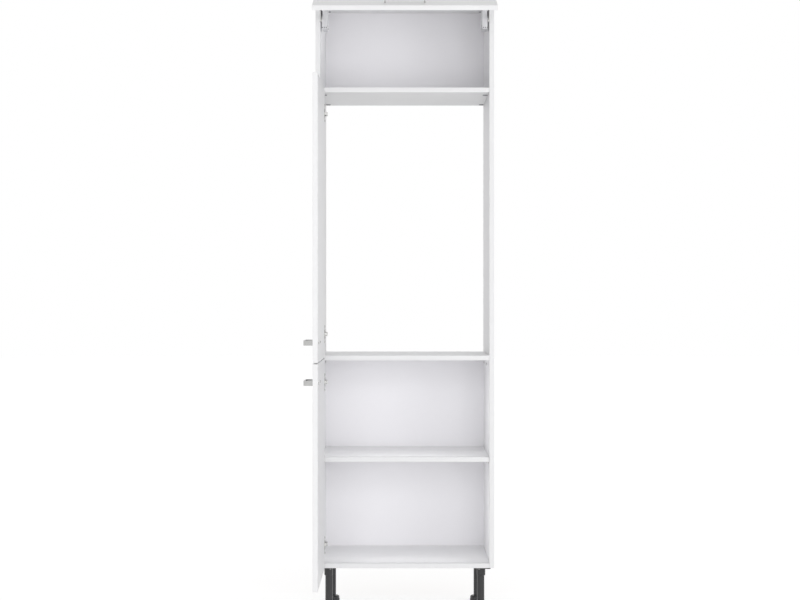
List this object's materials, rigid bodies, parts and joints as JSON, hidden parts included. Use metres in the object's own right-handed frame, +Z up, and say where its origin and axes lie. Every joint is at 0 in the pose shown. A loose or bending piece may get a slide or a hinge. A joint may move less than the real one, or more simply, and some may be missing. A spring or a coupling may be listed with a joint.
{
  "type": "fridge housing unit",
  "caption": "Tall white kitchen housing for a built-in fridge, with an open-backed niche, side-hung doors below and at the niche, a lift-up flap on top and plinth feet.",
  "frame": {"origin": "on the floor, in the middle of the bounding box of the unit with both doors open at a right angle and the flap up", "axes": "+Z up; +Y from the front towards the wall; +X to the right as seen from the front, so the doors hang on the -X side"},
  "size_m": [0.6156, 1.161, 2.118],
  "materials": {
    "white_melamine": "matt white melamine",
    "white_front": "white front, matt",
    "white_hardboard": "white lacquered hardboard",
    "nickel_plated_steel": "nickel plated",
    "satin_nickel_handle": "satin nickel",
    "black_plastic": "moulded",
    "light_grey_plastic": "moulded"
  },
  "bodies": {
    "carcass": {"left_side_panel": "white_melamine", "right_side_panel": "white_melamine", "bottom_panel": "white_melamine", "niche_floor_panel": "white_melamine", "niche_top_panel": "white_melamine", "top_panel": "white_melamine", "adjustable_shelf": "white_melamine", "lower_back_panel": "white_hardboard", "upper_back_panel": "white_hardboard", "front_left_foot_body": "black_plastic", "front_right_foot_body": "black_plastic", "rear_left_foot_body": "black_plastic", "rear_right_foot_body": "black_plastic", "front_left_shelf_pin": "nickel_plated_steel", "rear_left_shelf_pin": "nickel_plated_steel", "front_right_shelf_pin": "nickel_plated_steel", "rear_right_shelf_pin": "nickel_plated_steel", "lower_door_low_hinge_plate": "nickel_plated_steel", "lower_door_low_hinge_arm": "nickel_plated_steel", "lower_door_high_hinge_plate": "nickel_plated_steel", "lower_door_high_hinge_arm": "nickel_plated_steel", "upper_door_low_hinge_plate": "nickel_plated_steel", "upper_door_low_hinge_arm": "nickel_plated_steel", "upper_door_high_hinge_plate": "nickel_plated_steel", "upper_door_high_hinge_arm": "nickel_plated_steel", "flap_left_hinge_plate": "nickel_plated_steel", "flap_left_hinge_arm": "nickel_plated_steel", "flap_right_hinge_plate": "nickel_plated_steel", "flap_right_hinge_arm": "nickel_plated_steel", "left_lift_case": "light_grey_plastic", "right_lift_case": "light_grey_plastic"},
    "lower_door_links": {"lower_door_low_hinge_link": "nickel_plated_steel", "lower_door_high_hinge_link": "nickel_plated_steel"},
    "lower_door": {"lower_door": "white_front", "lower_door_low_hinge_cup": "nickel_plated_steel", "lower_door_high_hinge_cup": "nickel_plated_steel", "lower_door_handle": "satin_nickel_handle"},
    "upper_door_links": {"upper_door_low_hinge_link": "nickel_plated_steel", "upper_door_high_hinge_link": "nickel_plated_steel"},
    "upper_door": {"upper_door": "white_front", "upper_door_low_hinge_cup": "nickel_plated_steel", "upper_door_high_hinge_cup": "nickel_plated_steel", "upper_door_handle": "satin_nickel_handle"},
    "flap_links": {"flap_left_hinge_link": "nickel_plated_steel", "flap_right_hinge_link": "nickel_plated_steel"},
    "flap": {"flap": "white_front", "flap_left_hinge_cup": "nickel_plated_steel", "flap_right_hinge_cup": "nickel_plated_steel", "flap_handle": "satin_nickel_handle", "left_lift_bracket": "nickel_plated_steel", "right_lift_bracket": "nickel_plated_steel"},
    "left_lift_arm": {"left_lift_arm": "nickel_plated_steel"},
    "left_lift_link": {"left_lift_link": "nickel_plated_steel"},
    "right_lift_arm": {"right_lift_arm": "nickel_plated_steel"},
    "right_lift_link": {"right_lift_link": "nickel_plated_steel"},
    "front_left_foot_base": {"front_left_foot_base": "black_plastic"},
    "front_right_foot_base": {"front_right_foot_base": "black_plastic"},
    "rear_left_foot_base": {"rear_left_foot_base": "black_plastic"},
    "rear_right_foot_base": {"rear_right_foot_base": "black_plastic"}
  },
  "joints": [
    {"name": "lower_door_swing", "type": "hinge", "parent": "lower_door_links", "child": "lower_door", "pos_m": [-0.2658, 0.0025, 0.172], "axis": [0, 0, 1], "range_deg": [-6.9, 124.25]},
    {"name": "lower_door_link_turn", "type": "hinge", "parent": "carcass", "child": "lower_door_links", "pos_m": [-0.25365, 0.0265, 0.172], "axis": [0, 0, 1], "range_deg": [-34.3, 1.95]},
    {"name": "upper_door_swing", "type": "hinge", "parent": "upper_door_links", "child": "upper_door", "pos_m": [-0.2658, 0.0025, 0.172], "axis": [0, 0, 1], "range_deg": [-6.9, 124.25]},
    {"name": "upper_door_link_turn", "type": "hinge", "parent": "carcass", "child": "upper_door_links", "pos_m": [-0.25365, 0.0265, 0.172], "axis": [0, 0, 1], "range_deg": [-34.3, 1.95]},
    {"name": "flap_swing", "type": "hinge", "parent": "flap_links", "child": "flap", "pos_m": [-0.2922, 0.00388, 2.094], "axis": [1, 0, 0], "range_deg": [0, 102.85]},
    {"name": "flap_link_turn", "type": "hinge", "parent": "carcass", "child": "flap_links", "pos_m": [-0.2922, 0.0265, 2.07945], "axis": [1, 0, 0], "range_deg": [-28.4, 0]},
    {"name": "left_lift_arm_turn", "type": "hinge", "parent": "carcass", "child": "left_lift_arm", "pos_m": [-0.2762, 0.0535, 2.042], "axis": [1, 0, 0], "range_deg": [0, 74.6]},
    {"name": "left_lift_elbow_turn", "type": "hinge", "parent": "left_lift_arm", "child": "left_lift_link", "pos_m": [-0.2762, -0.02512, 2.00642], "axis": [1, 0, 0], "range_deg": [-89.5, 0]},
    {"name": "right_lift_arm_turn", "type": "hinge", "parent": "carcass", "child": "right_lift_arm", "pos_m": [0.2918, 0.0535, 2.042], "axis": [1, 0, 0], "range_deg": [0, 74.6]},
    {"name": "right_lift_elbow_turn", "type": "hinge", "parent": "right_lift_arm", "child": "right_lift_link", "pos_m": [0.2918, -0.02512, 2.00642], "axis": [1, 0, 0], "range_deg": [-89.5, 0]},
    {"name": "front_left_foot_height", "type": "slide", "parent": "carcass", "child": "front_left_foot_base", "axis": [0, 0, -1], "range_m": [-0.005, 0.02]},
    {"name": "front_right_foot_height", "type": "slide", "parent": "carcass", "child": "front_right_foot_base", "axis": [0, 0, -1], "range_m": [-0.005, 0.02]},
    {"name": "rear_left_foot_height", "type": "slide", "parent": "carcass", "child": "rear_left_foot_base", "axis": [0, 0, -1], "range_m": [-0.005, 0.02]},
    {"name": "rear_right_foot_height", "type": "slide", "parent": "carcass", "child": "rear_right_foot_base", "axis": [0, 0, -1], "range_m": [-0.005, 0.02]}
  ],
  "couplings": [
    {"joint": "lower_door_link_turn", "follows": "lower_door_swing", "ratio": -0.27565},
    {"joint": "upper_door_link_turn", "follows": "upper_door_swing", "ratio": -0.27565},
    {"joint": "flap_link_turn", "follows": "flap_swing", "ratio": -0.27565},
    {"joint": "left_lift_arm_turn", "follows": "flap_swing", "ratio": 0.72435},
    {"joint": "left_lift_elbow_turn", "follows": "flap_swing", "ratio": -0.86922},
    {"joint": "right_lift_arm_turn", "follows": "flap_swing", "ratio": 0.72435},
    {"joint": "right_lift_elbow_turn", "follows": "flap_swing", "ratio": -0.86922}
  ]
}
